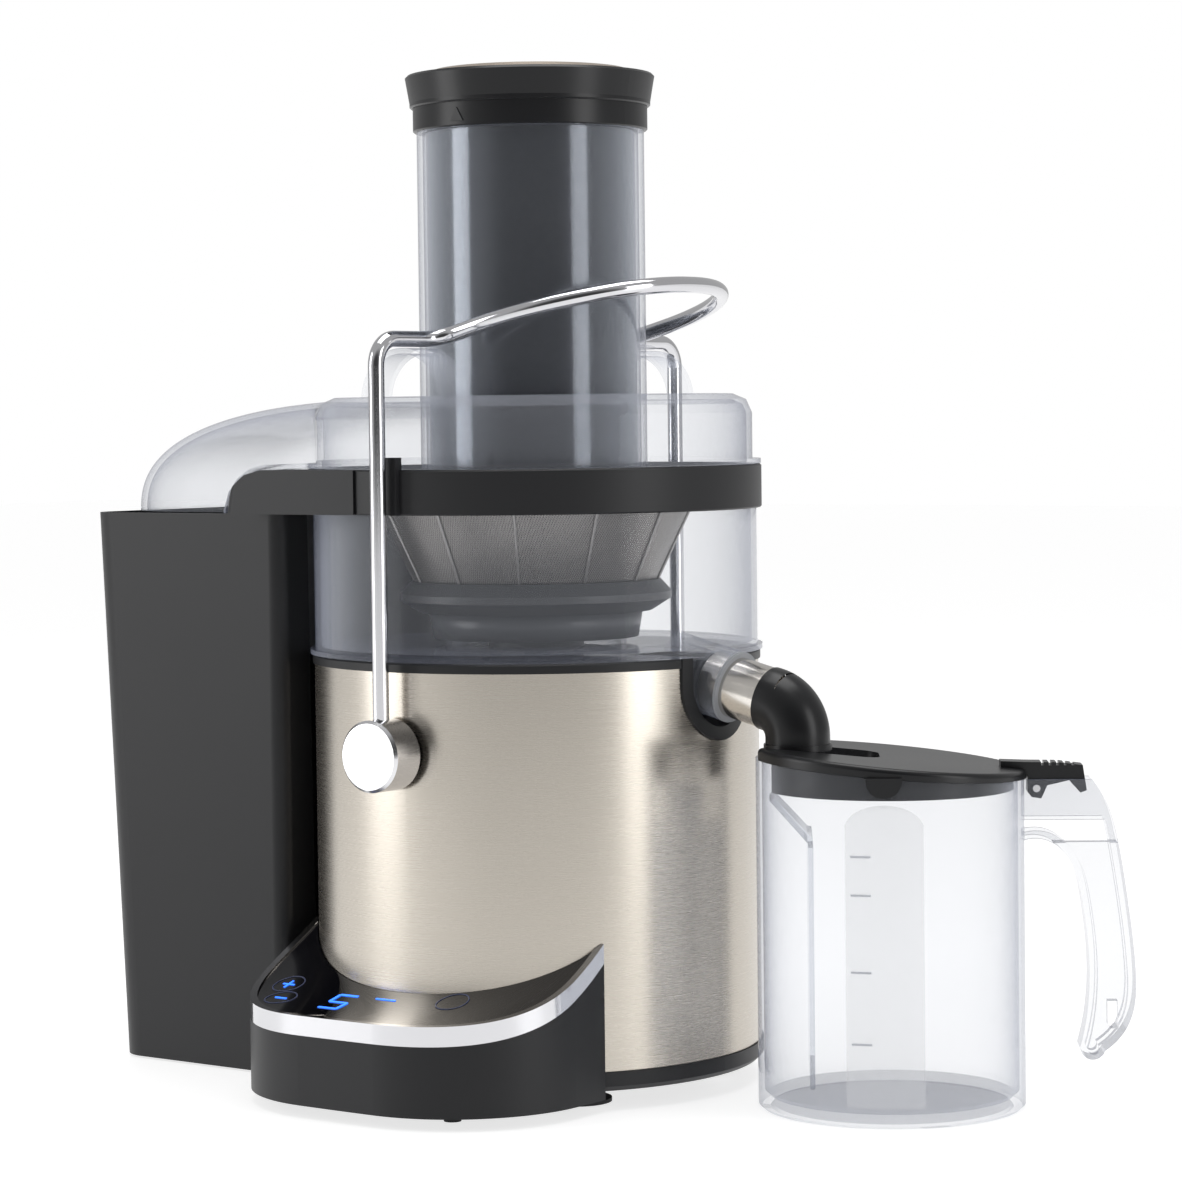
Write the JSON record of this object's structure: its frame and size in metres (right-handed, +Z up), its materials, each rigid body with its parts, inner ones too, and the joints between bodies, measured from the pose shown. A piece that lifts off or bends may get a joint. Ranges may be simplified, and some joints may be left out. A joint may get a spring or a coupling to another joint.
{
  "type": "centrifugal juicer",
  "caption": "Centrifugal juicer: steel motor base with touch panel, clear bowl and lid, mesh basket, wide chute with pusher, locking arm, pulp container and lidded jug.",
  "frame": {"origin": "on the table, under the middle of the whole assembly's box", "axes": "+Z up, along the motor axis, +X towards the juice outlet and jug, -Y towards the control panel"},
  "size_m": [0.4364, 0.244, 0.4229],
  "materials": {
    "steel_brushed": "brushed",
    "steel_plain": "satin",
    "chrome": "polished",
    "black_satin": "satin",
    "black_gloss": "gloss",
    "grey_plastic": "satin",
    "clear": "clear",
    "smoke": "smoked",
    "champagne": "satin",
    "copper_wound": "varnished",
    "board_green": "satin",
    "rubber": "matte",
    "seal_grey": "matte",
    "insulator": "satin"
  },
  "bodies": {
    "base": {"base_plate": "black_satin", "base_screws": "steel_plain", "bearing_lower": "steel_plain", "bearing_upper": "steel_plain", "body_skin": "steel_brushed", "bowl_band": "black_satin", "control_board": "board_green", "cord_gland": "rubber", "feed_chute": "clear", "filter_bowl": "clear", "inner_tub": "grey_plastic", "juicer_lid": "clear", "lid_ear_front": "clear", "lid_ear_rear": "clear", "lid_seal": "seal_grey", "motor_bracket_lower": "steel_plain", "motor_bracket_upper": "steel_plain", "motor_pillars": "steel_plain", "motor_stator": "steel_plain", "outlet_elbow": "black_satin", "outlet_pipe": "chrome", "outlet_seal": "seal_grey", "outlet_surround": "black_satin", "panel_housing": "black_satin", "panel_pegs": "rubber", "panel_trim": "chrome", "pivot_washer_front": "black_satin", "pivot_washer_rear": "black_satin", "pulp_hood": "clear", "suction_foot_1": "rubber", "suction_foot_2": "rubber", "suction_foot_3": "rubber", "touch_glass": "black_gloss", "trim_ring": "black_satin"},
    "basket": {"motor_shaft": "steel_plain", "rotor_core": "copper_wound", "commutator": "copper_wound", "cooling_fan": "grey_plastic", "drive_coupling": "grey_plastic", "basket_mesh": "steel_plain", "basket_rim": "steel_plain", "basket_hub": "grey_plastic", "grater_disc": "steel_plain", "grater_teeth": "steel_plain"},
    "arm": {"locking_arm": "chrome", "arm_knob_front": "chrome", "arm_knob_rear": "chrome", "pivot_pin_front": "steel_plain", "pivot_pin_rear": "steel_plain"},
    "pusher": {"pusher_tube": "smoke", "pusher_collar": "black_satin", "pusher_cap": "black_satin", "pusher_disc": "champagne"},
    "container": {"pulp_container": "black_satin"},
    "jug": {"jug_cup": "clear", "jug_handle": "clear", "froth_separator": "clear", "cover_hinge_pin": "steel_plain"},
    "cover": {"jug_cover": "black_satin"}
  },
  "joints": [
    {"name": "basket_spin", "type": "hinge", "parent": "base", "child": "basket", "pos_m": [-0.02816, 0.011, 0.2], "axis": [0, 0, 1], "continuous": true},
    {"name": "arm_pivot", "type": "hinge", "parent": "base", "child": "arm", "pos_m": [-0.02816, 0.011, 0.143], "axis": [0, 1, 0], "range_deg": [0, 60]},
    {"name": "pusher_slide", "type": "slide", "parent": "base", "child": "pusher", "axis": [0, 0, 1], "range_m": [0, 0.12]},
    {"name": "container_slide", "type": "slide", "parent": "base", "child": "container", "axis": [-1, 0, 0], "range_m": [0, 0.1]},
    {"name": "jug_slide", "type": "slide", "parent": "base", "child": "jug", "axis": [0.8315, 0.5556, 0], "range_m": [0, 0.12]},
    {"name": "cover_hinge", "type": "hinge", "parent": "jug", "child": "cover", "pos_m": [0.18137, 0.06347, 0.1275], "axis": [-0.5556, 0.8315, 0], "range_deg": [0, 35]}
  ]
}
